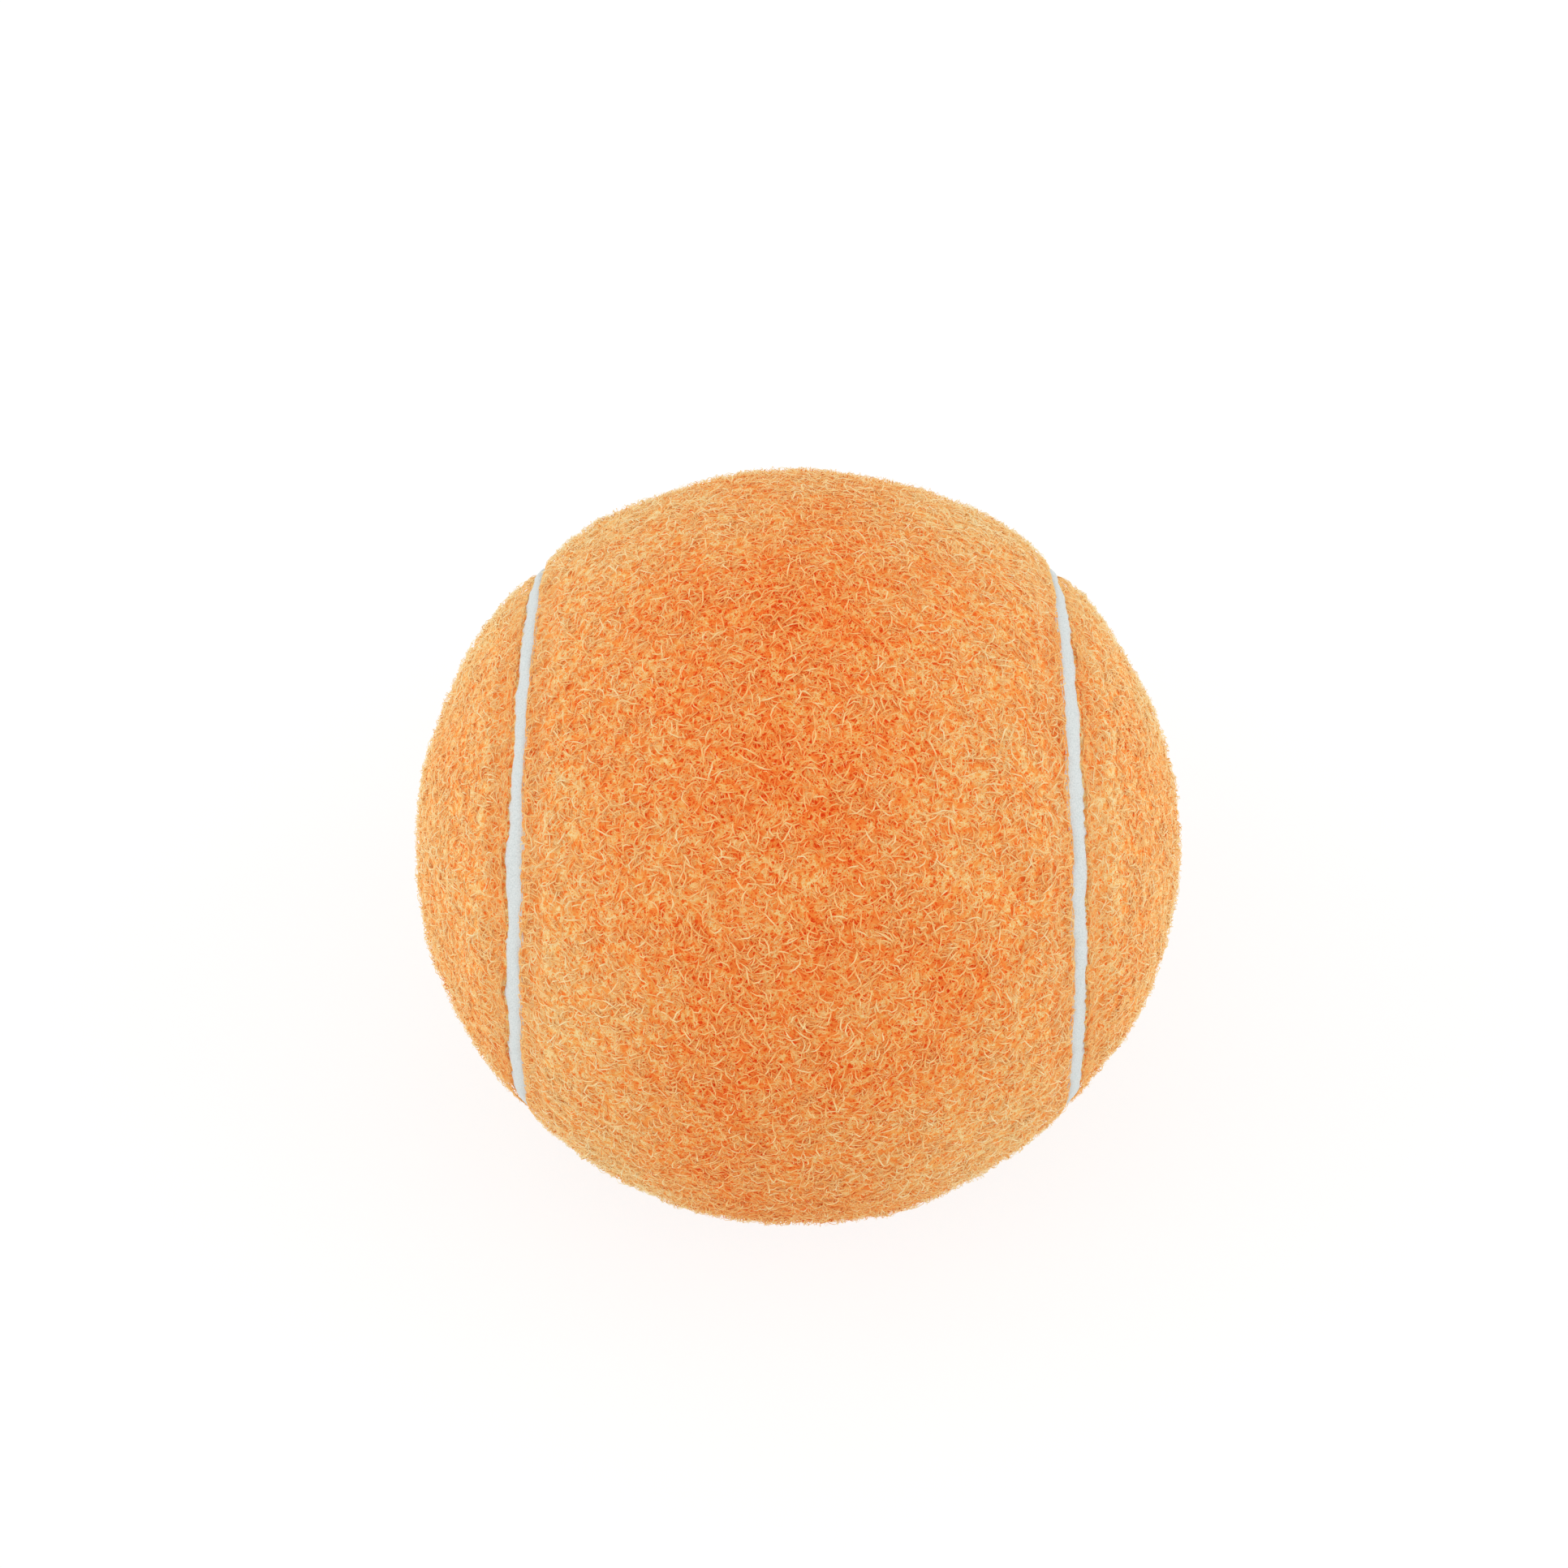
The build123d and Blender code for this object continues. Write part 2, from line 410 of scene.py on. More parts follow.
def fibre_lie(tree, layer, seed, place, up, lean):
    """The way that a fibre sets out over the ball: a swirl, its own straying, and a lean off the seam."""
    inputs = {"Vector": place, "Scale": 1 / FLOW_SIZE, "Detail": 1}
    flow = add_node(tree, "ShaderNodeTexNoise", inputs)["Color"]
    flow = add_node(tree, "ShaderNodeVectorMath", (flow, NOISE_MIDDLE), operation="SUBTRACT")[0]
    spread = layer["spread"]
    inputs = {0: (-spread,) * 3, 1: (spread,) * 3, "Seed": seed}
    stray = add_node(tree, "FunctionNodeRandomValue", inputs, data_type="FLOAT_VECTOR")[0]
    flow = add_node(tree, "ShaderNodeVectorMath", (flow, stray), operation="ADD")[0]
    lie = add_node(tree, "ShaderNodeVectorMath", (up, flow), operation="CROSS_PRODUCT")[0]
    lie = add_node(tree, "ShaderNodeVectorMath", (lie,), operation="NORMALIZE")[0]
    lie = add_node(tree, "ShaderNodeVectorMath", (lie, lean), operation="ADD")[0]
    return add_node(tree, "ShaderNodeVectorMath", (lie,), operation="NORMALIZE")[0]


def root_fibres(tree, felt, layer, seed):
    """Scatter roots, each with its direction, length, curl, height and shade."""
    place = add_node(tree, "GeometryNodeInputPosition")[0]
    up, spot = onto_ball(tree, place)
    nearest, distance = seam_nearest(tree, spot)
    roots = scatter_roots(tree, felt, layer, seed, place, up, distance)
    lean = add_node(tree, "ShaderNodeMapRange", (distance, *LEAN_SPAN, SEAM_LEAN, 0), **SOFT)[0]
    lie = fibre_lie(tree, layer, seed + 1, place, up, away_from_seam(tree, spot, nearest, lean))

    draws = []
    ranges = (layer["length"], (-layer["curl"], layer["curl"]), layer["height"], (0, 1))
    for number, (least, most) in enumerate(ranges):
        inputs = {2: least, 3: most, "Seed": seed + 2 + number}
        draws.append(add_node(tree, "FunctionNodeRandomValue", inputs)[1])
    length, curl, height, shade = draws
    room = add_node(tree, "ShaderNodeMath", (distance, ROOM_SHARE), operation="MULTIPLY")[0]
    length = add_node(tree, "ShaderNodeMath", (length, room), operation="MINIMUM")[0]
    trim = add_node(tree, "ShaderNodeMapRange", (distance, *TRIM_SPAN, SEAM_TRIM, 1), **SOFT)[0]
    height = add_node(tree, "ShaderNodeMath", (height, trim), operation="MULTIPLY")[0]
    form = add_node(tree, "ShaderNodeCombineXYZ", (length, curl, height))[0]

    for name, value in (("up", up), ("lie", lie), ("form", form)):
        inputs = {"Geometry": roots, "Name": name, "Value": value}
        roots = add_node(tree, "GeometryNodeStoreNamedAttribute", inputs, data_type="FLOAT_VECTOR")[0]
    inputs = {"Geometry": roots, "Name": "shade", "Value": shade}
    return add_node(tree, "GeometryNodeStoreNamedAttribute", inputs)[0]


print("clumps of", round(CLUMP_SIZE / MM, 1), "mm in swirls of", round(FLOW_SIZE / MM, 1), "mm")

# %% [markdown]
# ## How a fibre runs
# A fluffed fibre is bent and a little crooked. It could be simulated as a hair, but a short arc does as well:
# each point of a fibre walks over the ball along its arc, wobbles, and is held outside the felt's wavy edge.
# Its height comes from the felt's own surface, with a low arch on top, so it never sinks in or floats.

# %% Place every point of every fibre
WOBBLE_SIZE = 0.7 * MM
WOBBLE_SPREAD = 7.0
WOBBLE_SHARE = 0.22
SHOULDER_WIDTH = 3.6 * MM
SHOULDER_FALL = 0.085 / MM
ARCH_TURN = 0.78 * math.pi


def curl_fibre(tree, along, up, lie, length, curl):
    """The spot on the ball below a point of a fibre, which runs along an arc and wobbles on the way."""
    turn = add_node(tree, "ShaderNodeMath", (curl, along), operation="MULTIPLY")[0]
    bend_radius = add_node(tree, "ShaderNodeMath", (length, curl), operation="DIVIDE")[0]
    sine = add_node(tree, "ShaderNodeMath", (turn,), operation="SINE")[0]
    cosine = add_node(tree, "ShaderNodeMath", (turn,), operation="COSINE")[0]
    versine = add_node(tree, "ShaderNodeMath", (1, cosine), operation="SUBTRACT")[0]
    ahead = add_node(tree, "ShaderNodeMath", (bend_radius, sine), operation="MULTIPLY")[0]
    aside = add_node(tree, "ShaderNodeMath", (bend_radius, versine), operation="MULTIPLY")[0]
    across = add_node(tree, "ShaderNodeVectorMath", (up, lie), operation="CROSS_PRODUCT")[0]
    spot = add_node(tree, "ShaderNodeVectorMath", {0: up, "Scale": BALL_RADIUS}, operation="SCALE")[0]
    for direction, distance in ((lie, ahead), (across, aside)):
        step = add_node(tree, "ShaderNodeVectorMath", {0: direction, "Scale": distance}, operation="SCALE")[0]
        spot = add_node(tree, "ShaderNodeVectorMath", (spot, step), operation="ADD")[0]
    own_noise = add_node(tree, "ShaderNodeMath", (curl, WOBBLE_SPREAD), operation="MULTIPLY")[0]
    inputs = {"Vector": spot, "W": own_noise, "Scale": 1 / WOBBLE_SIZE, "Detail": 0}
    wobble = add_node(tree, "ShaderNodeTexNoise", inputs, noise_dimensions="4D")["Color"]
    wobble = add_node(tree, "ShaderNodeVectorMath", (wobble, NOISE_MIDDLE), operation="SUBTRACT")[0]
    amount = add_node(tree, "ShaderNodeMath", (length, WOBBLE_SHARE), operation="MULTIPLY")[0]
    wobble = add_node(tree, "ShaderNodeVectorMath", {0: wobble, "Scale": amount}, operation="SCALE")[0]
    spot = add_node(tree, "ShaderNodeVectorMath", (spot, wobble), operation="ADD")[0]
    return onto_ball(tree, spot)[1]


def walk_fibres(tree):
    """The place of each point of each fibre, how far along it is, and how high it stands in the pile."""
    along = add_node(tree, "GeometryNodeSplineParameter")["Factor"]
    up, lie, form = (
        add_node(tree, "GeometryNodeInputNamedAttribute", (name,), data_type="FLOAT_VECTOR")[0]
        for name in ("up", "lie", "form")
    )
    length, curl, height = add_node(tree, "ShaderNodeSeparateXYZ", (form,))
    spot = curl_fibre(tree, along, up, lie, length, curl)
    nearest, distance = seam_nearest(tree, spot)
    distance = add_node(tree, "ShaderNodeMath", (distance, felt_edge(tree, spot)), operation="MAXIMUM")[0]
    step = away_from_seam(tree, spot, nearest, distance)
    spot = add_node(tree, "ShaderNodeVectorMath", (nearest, step), operation="ADD")[0]

    rise = felt_rise(tree, spot, distance)
    fall = add_node(tree, "ShaderNodeMath", (SHOULDER_WIDTH, distance), operation="SUBTRACT")[0]
    fall = add_node(tree, "ShaderNodeMath", (fall, 0), operation="MAXIMUM")[0]
    fall = add_node(tree, "ShaderNodeMath", (fall, 2), operation="POWER")[0]
    fall = add_node(tree, "ShaderNodeMath", (fall, SHOULDER_FALL), operation="MULTIPLY")[0]
    rise = add_node(tree, "ShaderNodeMath", (rise, fall), operation="SUBTRACT")[0]
    arch = add_node(tree, "ShaderNodeMapRange", (along, 0, 1, 0, ARCH_TURN))[0]
    arch = add_node(tree, "ShaderNodeMath", (arch,), operation="SINE")[0]
    arch = add_node(tree, "ShaderNodeMath", (arch, height), operation="MULTIPLY")[0]
    rise = add_node(tree, "ShaderNodeMath", (rise, arch), operation="ADD")[0]
    reach = add_node(tree, "ShaderNodeMath", (rise, BALL_RADIUS), operation="ADD")[0]
    outward = add_node(tree, "ShaderNodeVectorMath", (spot,), operation="NORMALIZE")[0]
    place = add_node(tree, "ShaderNodeVectorMath", {0: outward, "Scale": reach}, operation="SCALE")[0]
    return place, along, add_node(tree, "ShaderNodeMath", (arch, PILE_DEPTH), operation="DIVIDE")[0]


print("a fibre rises over the first", round(math.pi / 2 / ARCH_TURN, 2), "of its length, then dips")

# %% [markdown]
# ## From curves to fibres
# Wool seen up close is small flat locks that thin out towards the tip. Each root gets a straight curve, which
# is bent by the fields above and swept with a flattened three-sided section. A round section would look no
# different at this size, and would need far more faces. Every fibre keeps its shade and height as attributes,
# because its material reads them.

# %% Tree that grows one layer of fibres
LOCK_FLATNESS = 0.45
LOCK_SIDES = 3
TAPER_SPAN = (0.5, 1.0)
TIP_SHARE = 0.4


def pile_tree(layer, seed):
    """Geometry nodes that grow one layer of fibres on a panel of cloth."""
    tree, felt = geometry_tree("pile")
    roots = root_fibres(tree, felt, layer, seed)
    line = add_node(tree, "GeometryNodeCurvePrimitiveLine")[0]
    line = add_node(tree, "GeometryNodeResampleCurve", {"Curve": line, "Count": layer["points"]})[0]
    fibres = add_node(tree, "GeometryNodeInstanceOnPoints", {"Points": roots, "Instance": line})[0]
    fibres = add_node(tree, "GeometryNodeRealizeInstances", (fibres,))[0]
    place, along, height = walk_fibres(tree)
    for name, value in (("along", along), ("height", height)):
        inputs = {"Geometry": fibres, "Name": name, "Value": value}
        fibres = add_node(tree, "GeometryNodeStoreNamedAttribute", inputs)[0]
    fibres = add_node(tree, "GeometryNodeSetPosition", {"Geometry": fibres, "Position": place})[0]
    place = add_node(tree, "GeometryNodeInputPosition")[0]
    inputs = {"Curve": fibres, "Normal": place}
    fibres = add_node(tree, "GeometryNodeSetCurveNormal", inputs, mode="FREE")[0]
    section = {"Resolution": LOCK_SIDES, "Radius": layer["width"] / math.sqrt(3)}
    section = add_node(tree, "GeometryNodeCurvePrimitiveCircle", section)[0]
    inputs = {"Geometry": section, "Scale": (LOCK_FLATNESS, 1, 1)}
    section = add_node(tree, "GeometryNodeTransform", inputs)[0]
    along = add_node(tree, "GeometryNodeInputNamedAttribute", ("along",))[0]
    taper = add_node(tree, "ShaderNodeMapRange", (along, *TAPER_SPAN, 1, TIP_SHARE), **SOFT)[0]
    inputs = {"Curve": fibres, "Profile Curve": section, "Scale": taper, "Fill Caps": True}
    pile = add_node(tree, "GeometryNodeCurveToMesh", inputs)[0]
    for name in ("up", "lie", "form"):
        pile = add_node(tree, "GeometryNodeRemoveAttribute", {"Geometry": pile, "Name": name})[0]
    pile = add_node(tree, "GeometryNodeSetShadeSmooth", {"Geometry": pile, "Shade Smooth": False})[0]
    pile = add_node(tree, "GeometryNodeSetMaterial", {"Geometry": pile, "Material": nap_wool})[0]
    add_node(tree, "NodeGroupOutput", (pile,))
    return tree


print("a lock is", LOCK_FLATNESS, "times as thick as it would be with equal sides")

# %% [markdown]
# ## Material of the fibres
# Dyed wool and nylon take the dye unevenly: each fibre takes its own shade of orange to tan, and soft
# patches run between redder and paler. On top of that each fibre is painted deep red-orange low in the pile
# and paler and yellower at the top of its arch, as painted shade down among the fibres and painted light
# where it passes through the fluffed ends. A picture of felt could be wrapped round the ball, but it would
# stretch at the poles, so noise in the ball's own space does the work. The felt pales towards its sides,
# partly as dye and partly as painted sheen along the outline, and its ends are lightened as painted light.

# %% Napped wool
PATCH_SIZE = 13 * MM
PATCH_SPAN = (0.3, 0.7)
PATCH_TONE = 0.14
# Paler sides: partly dye on the lobes, partly painted sheen; more on the low sides, as painted light
SIDE_DYE_AND_SHEEN_SPAN = (2 * MM, 22 * MM)
SIDE_DYE_AND_SHEEN_LIFTS = (0.25, 0.43)
LOW_SIDE_LIGHT_SPAN = (-22 * MM, -33 * MM)
# Painted light at the ends: painted sheen paling the far end, and painted light on the low end
PAINTED_END_LIGHT = (((0 * MM, 24 * MM), 0.22), ((-25 * MM, -34 * MM), 0.1))
FIBRE_TONES = (-0.13, 0.22)
PILE_HEIGHTS = (0, 1.2)
# Tones added by height in the pile: painted shade low down, painted light at the top of the arch
PAINTED_PILE_SHADING = (0.06, 0.6)
NAP_SHADES = ((0.0, "ff9241"), (0.28, "ffb665"), (0.52, "ffd088"), (0.8, "ffe6ae"), (1.0, "ffeebe"))


def new_material(name):
    """A new material and its empty node tree."""
    material = bpy.data.materials.new(name)
    material.use_nodes = True
    material.node_tree.nodes.clear()
    return material, material.node_tree


def set_stops(ramp, stops):
    """Give a colour ramp its hex colours, each at its place."""
    while len(ramp.elements) < len(stops):
        ramp.elements.new(0.5)
    for element, (position, colour) in zip(ramp.elements, stops):
        element.position = position
        element.color = linear(colour)


def felt_drift_and_painted_light(tree):
    """Object coordinates, and the felt's tone: soft patches, sides paler as dye and painted sheen, ends as
    painted light.
    """
    place = add_node(tree, "ShaderNodeTexCoord")["Object"]
    inputs = {"Vector": place, "Scale": 1 / PATCH_SIZE, "Detail": 4, "Roughness": 0.8}
    patch = add_node(tree, "ShaderNodeTexNoise", inputs)[0]
    drift_and_light = add_node(tree, "ShaderNodeMapRange", (patch, *PATCH_SPAN, -PATCH_TONE, PATCH_TONE))[0]
    x, y, _ = add_node(tree, "ShaderNodeSeparateXYZ", (place,))
    aside = add_node(tree, "ShaderNodeMath", (x,), operation="ABSOLUTE")[0]
    side_paling = add_node(tree, "ShaderNodeMapRange", (y, *LOW_SIDE_LIGHT_SPAN, *SIDE_DYE_AND_SHEEN_LIFTS), **SOFT)[0]
    # The sides, far end and low end are lightened: painted sheen and painted light, the sides partly dye
    pale_zones = [(aside, SIDE_DYE_AND_SHEEN_SPAN, side_paling)] + [(y, span, lift) for span, lift in PAINTED_END_LIGHT]
    for way, span, lift in pale_zones:
        pale_zone = add_node(tree, "ShaderNodeMapRange", (way, *span, 0, lift), **SOFT)[0]
        drift_and_light = add_node(tree, "ShaderNodeMath", (drift_and_light, pale_zone), operation="ADD")[0]
    return place, drift_and_light


def fibre_material():
    """Dyed wool: matt, each fibre its own shade, painted deeper at the root as shade and paler at the top of
    its arch as light.
    """
    material, tree = new_material("napped_wool")
    drift_and_light = felt_drift_and_painted_light(tree)[1]
    shade = add_node(tree, "ShaderNodeAttribute", attribute_name="shade")["Fac"]
    shade = add_node(tree, "ShaderNodeMapRange", (shade, 0, 1, *FIBRE_TONES))[0]
    # The height in the pile is painted on as shade and light: deeper low down, paler at the top
    height = add_node(tree, "ShaderNodeAttribute", attribute_name="height")["Fac"]
    height = add_node(tree, "ShaderNodeMapRange", (height, *PILE_HEIGHTS, *PAINTED_PILE_SHADING))[0]
    for part in (height, drift_and_light):
        shade = add_node(tree, "ShaderNodeMath", (shade, part), operation="ADD")[0]
    colour = add_node(tree, "ShaderNodeValToRGB", (shade,))[0]
    set_stops(colour.node.color_ramp, NAP_SHADES)
    inputs = {"Base Color": colour, "Roughness": 0.9, "Specular IOR Level": 0.1}
    shader = add_node(tree, "ShaderNodeBsdfPrincipled", inputs)[0]
    add_node(tree, "ShaderNodeOutputMaterial", (shader,))
    return material


nap_wool = fibre_material()
print(nap_wool.name, "in", len(NAP_SHADES), "shades, patches of", round(PATCH_SIZE / MM), "mm")

# %% [markdown]
# ## Material of the cloth
# Under the pile the cloth is a mat of the same wool, crossed by bent fibres that lie flat. Its deep colour
# is partly the wool's own and partly painted shade deep in the pile.
# They could be grown like the pile, but nobody would see their thickness, so noise draws them: a line runs
# wherever a noise crosses its middle value, and four such noises lie over each other.

# %% Wool felt cloth
# Real fibres lie closer than these curls, which are drawn as coarse as they need to be to show
TANGLES = ((0.44 * MM, 0.82), (0.56 * MM, 0.71), (0.4 * MM, 0.6), (0.64 * MM, 0.49))
TANGLE_EDGE = 0.07
TANGLE_STEP = 3.0
CLUMP_TONES = (0.5, 1)
# The deep low end of these colours is partly the wool's own and partly painted shade deep in the pile
CLOTH_SHADES = ((0.0, "ec4a12"), (0.26, "ff8234"), (0.52, "ffaa54"), (0.75, "ffca7d"), (1.0, "ffe4a6"))


def tangle(tree, place):
    """Curly lines all over, each where a noise crosses its middle: pale on a drawn fibre, 0 between them."""
    lines = 0.0
    for number, (size, tone) in enumerate(TANGLES):
        inputs = {"Vector": place, "W": TANGLE_STEP * number, "Scale": 1 / size, "Detail": 1.5}
        noise = add_node(tree, "ShaderNodeTexNoise", inputs, noise_dimensions="4D")[0]
        ridge = add_node(tree, "ShaderNodeMath", (noise, NOISE_MIDDLE[0]), operation="SUBTRACT")[0]
        ridge = add_node(tree, "ShaderNodeMath", (ridge,), operation="ABSOLUTE")[0]
        ridge = add_node(tree, "ShaderNodeMapRange", (ridge, 0, TANGLE_EDGE, tone, 0), **SOFT)[0]
        lines = add_node(tree, "ShaderNodeMath", (lines, ridge), operation="MAXIMUM")[0]
    # Between clumps the drawn curls are dimmer, so the deep colour shows: partly painted shade in the pits
    inputs = {"Vector": place, "Scale": 1 / CLUMP_SIZE, "Detail": 0}
    clump = add_node(tree, "ShaderNodeTexNoise", inputs)[0]
    clump = add_node(tree, "ShaderNodeMapRange", (clump, *CLUMP_SPAN, *CLUMP_TONES), **SOFT)[0]
    return add_node(tree, "ShaderNodeMath", (lines, clump), operation="MULTIPLY")[0]


def cloth_material():
    """Fulled wool felt: a mat of short bent fibres drawn in layers over deep red-orange, partly painted
    shade.
    """
    material, tree = new_material("wool_felt_cloth")
    place, drift_and_light = felt_drift_and_painted_light(tree)
    lines = tangle(tree, place)
    bump = add_node(tree, "ShaderNodeBump", {"Strength": 0.5, "Distance": 0.08 * MM, "Height": lines})[0]
    tone = add_node(tree, "ShaderNodeMath", (drift_and_light, lines), operation="ADD")[0]
    colour = add_node(tree, "ShaderNodeValToRGB", (tone,))[0]
    set_stops(colour.node.color_ramp, CLOTH_SHADES)
    inputs = {"Base Color": colour, "Roughness": 0.95, "Specular IOR Level": 0.1, "Normal": bump}
    shader = add_node(tree, "ShaderNodeBsdfPrincipled", inputs)[0]
    add_node(tree, "ShaderNodeOutputMaterial", (shader,))
    return material


felt_wool = cloth_material()
for cloth in cloths.values():
    dress(cloth, felt_wool)
print(felt_wool.name, "with drawn curls of", [round(size / MM, 2) for size, _ in TANGLES], "mm")

# %% [markdown]
# ## Three layers of pile
# Looking into felt, the eye meets pale fibres on top and short ones below, and along the outline a haze of
# single hairs. The short ones are drawn deeper by painted shade, which their material gives low in the pile.
# One mixed layer could stand for all three, but each is easier to tune by itself, from its own list of sizes:
# how many fibres stand on a square metre, how long, how curly and how high they are. Real fibres are a
# fiftieth of a millimetre thick. They are drawn up to six times as thick, as locks of fibres, because finer
# ones wouldn't show. A layer is grown in one or two pieces with their own seeds, to keep each mesh at a size
# that other programs can open.

# %% Grow every layer on both panels
# thin is the share of roots left between clumps, and spread how far a fibre strays from its neighbours' way
LOW_PILE = {
    "name": "nap_low", "pieces": 2, "points": 4, "density": 1.52e6, "thin": 0.55, "spread": 0.4,
    "length": (0.6 * MM, 1.3 * MM), "curl": 2.6, "height": (0.05 * MM, 0.28 * MM), "width": 0.1 * MM,
}
TOP_PILE = {
    "name": "nap_top", "pieces": 1, "points": 4, "density": 1.52e6, "thin": 0.55, "spread": 0.4,
    "length": (0.85 * MM, 1.8 * MM), "curl": 2.6, "height": (0.2 * MM, 0.46 * MM), "width": 0.115 * MM,
}
FUZZ = {
    "name": "nap_fuzz", "pieces": 1, "points": 3, "density": 1.2e6, "thin": 1.0, "spread": 0.6,
    "length": (0.3 * MM, 0.8 * MM), "curl": 1.4, "height": (0.3 * MM, 0.6 * MM), "width": 0.05 * MM,
}
FIRST_SEED = 110
SEED_STEP = 10


def grow(panel, layer, name, seed):
    """Grow one piece of a layer on a copy of the cloth, so that the cloth itself stays bare."""
    piece = show(name, cloths[panel].data)
    shape(piece, pile_tree(layer, seed))
    piece.data.calc_loop_triangles()
    print(name, len(piece.data.loop_triangles), "triangles")
    return piece


naps = {panel: [] for panel in PANELS}
seed = FIRST_SEED
for panel in PANELS:
    for layer in (LOW_PILE, TOP_PILE, FUZZ):
        for number in range(1, layer["pieces"] + 1):
            naps[panel].append(grow(panel, layer, f"{layer['name']}_{panel}_{number}", seed))
            seed += SEED_STEP

# %% [markdown]
# ## The seam cement
# The pale line is rubber cement that wells up between the panels' cut edges and sets with a matt, slightly
# uneven skin. A bevelled curve along the middle line could stand for it, but its solid already fills the gap
# between the panels. So a copy of the solid is remeshed, spread until it reaches just under the felt's wavy
# edges, and given small swells. The fibres of both panels lap over its sides.

# %% Make the bead of cement
CEMENT_VOXEL = 0.36 * MM
CEMENT_SWELLS = ((3.0 * MM, 0.05 * MM), (0.8 * MM, 0.03 * MM))
CEMENT_RISE = 0.04 * MM
CEMENT_LAP = 0.12 * MM
CEMENT_EDGE = (0.45 * MM, 0.7 * MM)
CEMENT_EDGE_DROP = 0.12 * MM


def swell_tree():
    """Geometry nodes that spread the strip of cement, round its sides off and give it swells."""
    tree, strip = geometry_tree("cement_swells")
    place = add_node(tree, "GeometryNodeInputPosition")[0]
    spot = onto_ball(tree, place)[1]
    nearest, distance = seam_nearest(tree, spot)
    rise = add_waves(tree, CEMENT_RISE, place, CEMENT_SWELLS)
    drop = add_node(tree, "ShaderNodeMapRange", (distance, *CEMENT_EDGE, 0, -CEMENT_EDGE_DROP), **SOFT)[0]
    rise = add_node(tree, "ShaderNodeMath", (rise, drop), operation="ADD")[0]
    width = add_node(tree, "ShaderNodeMath", (felt_edge(tree, spot), CEMENT_LAP), operation="ADD")[0]
    spread = add_node(tree, "ShaderNodeMath", (width, SEAM_HALF_GAP), operation="DIVIDE")[0]
    spread = add_node(tree, "ShaderNodeMath", (spread, 1), operation="SUBTRACT")[0]
    aside = add_node(tree, "ShaderNodeVectorMath", (spot, nearest), operation="SUBTRACT")[0]
    aside = add_node(tree, "ShaderNodeVectorMath", {0: aside, "Scale": spread}, operation="SCALE")[0]
    strip = move_skin(tree, strip, place, rise, aside)
    add_node(tree, "NodeGroupOutput", (strip,))
    return tree


seam = remeshed("seam_bead", "seam_cement", CEMENT_VOXEL)
shape(seam, swell_tree())
print(seam.name, len(seam.data.polygons), "faces")

# %% [markdown]
# ## Material of the cement
# Cured cement is off-white and matt, with the fine tooth of a skin that dried in air. A plain white would do
# from afar, but close up it would look like plastic. So one noise shifts the colour by a few tones, and the
# same noise is its bump.

# %% White rubber cement
# Real grain is finer than this, which is as coarse as it needs to be to show
GRIT_SIZE = 0.12 * MM
CEMENT_SHADES = ((0.3, "cfd6d5"), (0.5, "dee4e3"), (0.75, "e9edec"))


def cement_material():
    """Cured white rubber cement: matt, faintly cool, with a fine grain and a little picked-up dust."""
    material, tree = new_material("rubber_cement_white")
    place = add_node(tree, "ShaderNodeTexCoord")["Object"]
    inputs = {"Vector": place, "Scale": 1 / GRIT_SIZE, "Detail": 2}
    grit = add_node(tree, "ShaderNodeTexNoise", inputs)[0]
    bump = add_node(tree, "ShaderNodeBump", {"Strength": 0.5, "Distance": 0.04 * MM, "Height": grit})[0]
    colour = add_node(tree, "ShaderNodeValToRGB", (grit,))[0]
    set_stops(colour.node.color_ramp, CEMENT_SHADES)
    inputs = {"Base Color": colour, "Roughness": 0.7, "Specular IOR Level": 0.3, "Normal": bump}
    shader = add_node(tree, "ShaderNodeBsdfPrincipled", inputs)[0]
    add_node(tree, "ShaderNodeOutputMaterial", (shader,))
    return material


dress(seam, cement_material())
print(seam.name, "gets", seam.data.materials[0].name)

# %% [markdown]
# ## The hidden layers
# Inside are moulded rubber, brushed cement and the coat on the back of the cloth. They keep their solids,
# because those have the right shapes, and each gets a plain procedural finish that holds up if the ball is
# ever cut open: a fine mould grain on the rubber, broad soft mottling in the brushed cement, and the small
# grain of a spread coat on the backing. All three are one material with other sizes and colours.

# %% Finishes for core, cement and backing
INNER_FINISHES = {
    "core_rubber": ("moulded_core_rubber", 0.35 * MM, ("2b2826", "3a3634"), 0.65),
    "cement": ("brushed_rubber_cement", 1.8 * MM, ("a8875a", "c4a477"), 0.4),
    "backing": ("backing_rubber_coat", 0.5 * MM, ("b59c78", "cdb694"), 0.8),
}
GRAIN_SPAN = (0.35, 0.65)


def inner_material(name, grain, colours, roughness):
    """Rubber or cement: two close tones in a grain of real size, with the same grain as bump."""
    material, tree = new_material(name)
    place = add_node(tree, "ShaderNodeTexCoord")["Object"]
    inputs = {"Vector": place, "Scale": 1 / grain, "Detail": 3}
    noise = add_node(tree, "ShaderNodeTexNoise", inputs)[0]
    bump = add_node(tree, "ShaderNodeBump", {"Strength": 0.4, "Distance": 0.05 * MM, "Height": noise})[0]
    colour = add_node(tree, "ShaderNodeValToRGB", (noise,))[0]
    set_stops(colour.node.color_ramp, tuple(zip(GRAIN_SPAN, colours)))
    inputs = {"Base Color": colour, "Roughness": roughness, "Normal": bump}
    shader = add_node(tree, "ShaderNodeBsdfPrincipled", inputs)[0]
    add_node(tree, "ShaderNodeOutputMaterial", (shader,))
    return material


